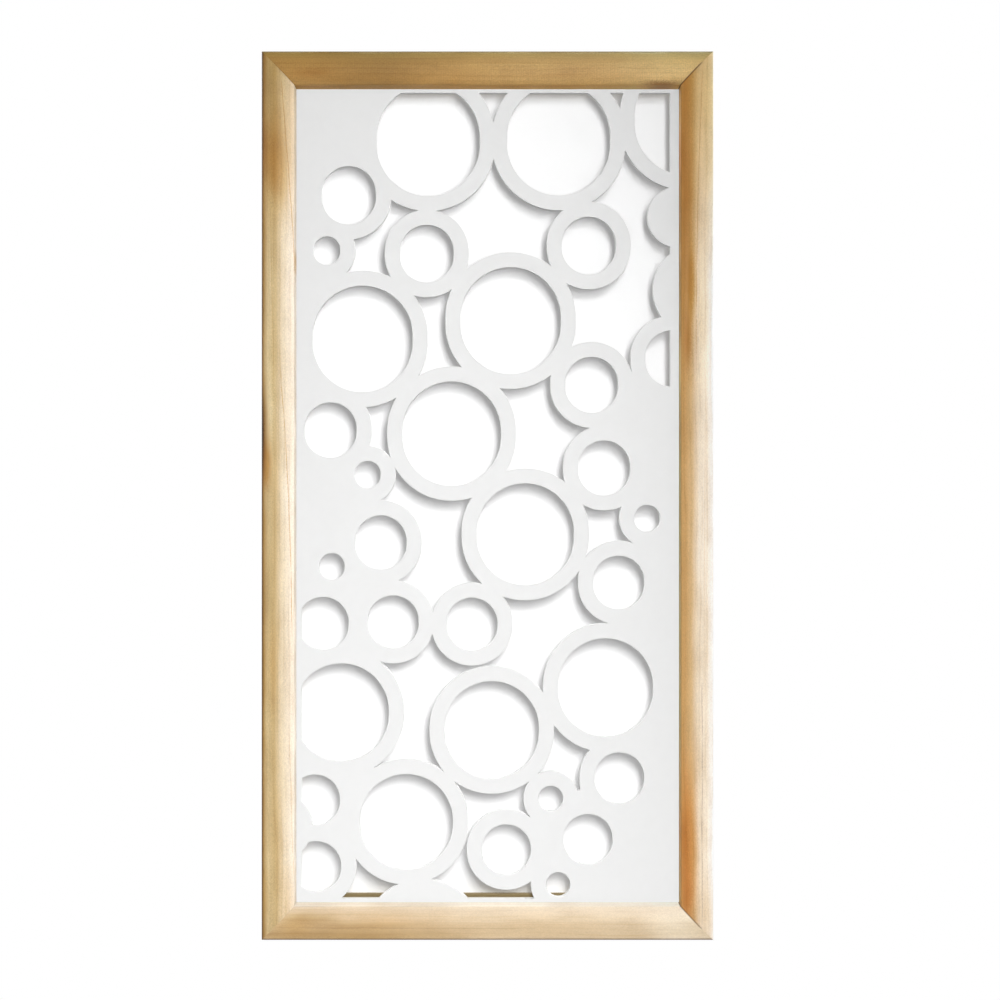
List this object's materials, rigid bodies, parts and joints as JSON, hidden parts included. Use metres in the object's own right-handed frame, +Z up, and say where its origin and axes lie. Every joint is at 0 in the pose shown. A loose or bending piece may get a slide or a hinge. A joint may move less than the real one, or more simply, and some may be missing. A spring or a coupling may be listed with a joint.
{
  "type": "framed pierced wall panel",
  "caption": "Tall wall-hung decorative panel: a white board pierced with overlapping rings in a mitred wood frame.",
  "frame": {"origin": "middle of the back face of the top rail, where the panel rests on the wall side", "axes": "+Z up the panel, +Y from the front of the panel towards the wall, +X to the right seen from the front"},
  "size_m": [0.61, 0.042, 1.2],
  "materials": {
    "pine": "clear-oiled softwood moulding, satin",
    "painted_board": "fine fibreboard in smooth white satin paint",
    "bead_wood": "plain square-cut softwood, unfinished",
    "pin_steel": "bright drawn wire",
    "nail_steel": "blued strip",
    "plated_steel": "bright zinc plate",
    "screw_steel": "bright zinc plate",
    "bumper_rubber": "matt"
  },
  "bodies": {
    "panel": {"top_rail": "pine", "bottom_rail": "pine", "left_stile": "pine", "right_stile": "pine", "ring_board": "painted_board", "top_bead": "bead_wood", "bottom_bead": "bead_wood", "left_bead": "bead_wood", "right_bead": "bead_wood", "top_bead_pins": "pin_steel", "bottom_bead_pins": "pin_steel", "left_bead_pins": "pin_steel", "right_bead_pins": "pin_steel", "v_nails_top_left": "nail_steel", "v_nails_top_right": "nail_steel", "v_nails_bottom_left": "nail_steel", "v_nails_bottom_right": "nail_steel", "left_hanger_strap": "plated_steel", "right_hanger_strap": "plated_steel", "left_hanger_screws": "screw_steel", "right_hanger_screws": "screw_steel", "left_bumper": "bumper_rubber", "right_bumper": "bumper_rubber"},
    "left_ring": {"left_hanger_ring": "plated_steel"},
    "right_ring": {"right_hanger_ring": "plated_steel"}
  },
  "joints": [
    {"name": "left_ring_swing", "type": "hinge", "parent": "panel", "child": "left_ring", "pos_m": [-0.289, 0.00315, -0.184], "axis": [1, 0, 0], "range_deg": [0, 180]},
    {"name": "right_ring_swing", "type": "hinge", "parent": "panel", "child": "right_ring", "pos_m": [0.289, 0.00315, -0.184], "axis": [1, 0, 0], "range_deg": [0, 180]}
  ]
}
